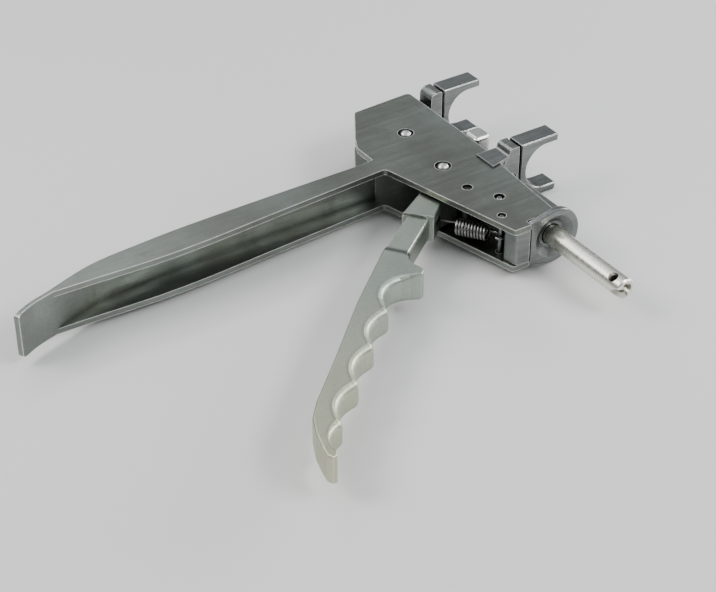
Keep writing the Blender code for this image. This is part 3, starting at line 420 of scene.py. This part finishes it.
def helix(first, last, across, up, radius, turns, steps=24):
    """Coil whose axis runs from first to last."""
    total = int(turns * steps)
    points = []
    for i in range(total + 1):
        angle = 2 * math.pi * i / steps
        out = radius * (math.cos(angle) * across + math.sin(angle) * up)
        points.append(first.lerp(last, i / total) + out)
    return points


def build_lever_spring():
    """Extension spring from the lever's post to the frame's pin."""
    post, anchor = middle("spring_post"), middle("spring_anchor_pin")
    lead = (anchor - post).normalized()
    up = Vector((0.0, 0.0, 1.0))
    across = up.cross(lead)
    first, last = post + lead * POST_LINK, anchor - lead * ANCHOR_LINK
    path = hook(post, lead, across, POST_HOOK, -40.0)
    path += helix(first, last, across, up, LEVER_COIL, LEVER_COIL_TURNS)
    path += hook(anchor, lead, across, ANCHOR_HOOK, 140.0)
    piece = sweep("lever_spring_wire", path, LEVER_WIRE)
    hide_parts("lever_spring")
    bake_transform(piece)


def build_push_spring(name, node, wire, turns, slim=0.0, steps=28):
    """Compression spring along Y with closed end turns, seated at its front end.

    slim is how much thinner it is than the CAD node.
    """
    low, high = (Vector(corner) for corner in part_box(node))
    centre = (low + high) / 2
    radius = (high.z - low.z) / 2 - wire - slim
    length = high.y - low.y - 2 * wire
    seat = CLOSED_PITCH * wire / length
    path = []
    for i in range(turns * steps + 1):
        turn = i / steps
        angle = 2 * math.pi * turn
        if turn < 1.0:
            rise = seat * turn
        elif turn > turns - 1.0:
            rise = 1.0 - seat * (turns - turn)
        else:
            rise = seat + (1.0 - 2.0 * seat) * (turn - 1.0) / (turns - 2.0)
        place = Vector((math.cos(angle) * radius, 0.0, math.sin(angle) * radius))
        path.append(Vector((centre.x, low.y + wire + length * rise, centre.z)) + place)
    piece = sweep(name, path, wire)
    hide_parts(node)
    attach(piece, "frame_body")
    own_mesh(piece)


# ---------------------------------------------------------------- stage
def build_floor():
    place = (0, 0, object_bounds()[0][2])
    cells = {"x_subdivisions": FLOOR_CELLS, "y_subdivisions": FLOOR_CELLS}
    bpy.ops.mesh.primitive_grid_add(size=FLOOR_SIZE, location=place, **cells)
    floor = bpy.context.object
    floor.name = "studio_floor"
    floor.data.materials.append(floor_finish())


def build_sky():
    """Soft studio surround, dim near the horizon and bright overhead."""
    world = bpy.data.worlds.new("studio")
    bpy.context.scene.world = world
    world.use_nodes = True
    tree = world.node_tree
    background = tree.nodes["Background"]
    coords = tree.nodes.new("ShaderNodeTexCoord")
    split = tree.nodes.new("ShaderNodeSeparateXYZ")
    height = tree.nodes.new("ShaderNodeMapRange")
    height.inputs["From Min"].default_value = SKY_HEIGHTS[0]
    height.inputs["From Max"].default_value = SKY_HEIGHTS[1]
    height.inputs["To Min"].default_value = SKY_STRENGTHS[0]
    height.inputs["To Max"].default_value = SKY_STRENGTHS[1]
    tree.links.new(coords.outputs["Generated"], split.inputs["Vector"])
    tree.links.new(split.outputs["Z"], height.inputs["Value"])
    tree.links.new(height.outputs["Result"], background.inputs["Strength"])
    background.inputs["Color"].default_value = SKY_TINT


def add_light(name, position, size, power, colour=(1.0, 1.0, 1.0)):
    """Rectangular light aimed at the middle of the tool."""
    light = bpy.data.lights.new(name, "AREA")
    light.shape = "RECTANGLE"
    light.size, light.size_y = size
    light.energy = power
    light.color = colour
    obj = bpy.data.objects.new(name, light)
    bpy.context.scene.collection.objects.link(obj)
    obj.location = position
    facing = Vector(LIGHT_TARGET) - Vector(position)
    obj.rotation_euler = facing.to_track_quat("-Z", "Y").to_euler()


def build_lights():
    add_light("key", (-0.95, 0.38, 0.9), (0.7, 0.5), 10.0, (1.0, 0.98, 0.95))
    add_light("rod_strip", (-0.15, 0.85, 0.95), (1.0, 0.16), 3.0)
    add_light("side_strip", (1.1, -0.1, 0.32), (1.0, 0.35), 10.0)
    add_light("edge_light", (0.5, -0.85, 0.87), (0.7, 0.3), 9.0)


def build_camera():
    """Camera where the photographer stood, aimed at the middle of the tool."""
    camera = bpy.data.cameras.new("photo_view")
    camera.sensor_width = 36.0
    camera.lens = CAMERA_LENS
    camera.clip_start = 0.05
    camera.clip_end = 20.0
    obj = bpy.data.objects.new("photo_view", camera)
    bpy.context.scene.collection.objects.link(obj)
    obj.location = CAMERA_PLACE
    facing = Vector(CAMERA_AIM) - Vector(CAMERA_PLACE)
    obj.rotation_euler = facing.to_track_quat("-Z", "Y").to_euler()
    bpy.context.scene.camera = obj


dress_nodes()
build_lever_spring()
build_push_spring("drive_spring_wire", "drive_spring", 0.7 * MM, 6)
build_push_spring(
    "release_spring_wire", "release_spring", 0.4 * MM, 7, slim=0.35 * MM
)
build_floor()
build_sky()
build_lights()
build_camera()
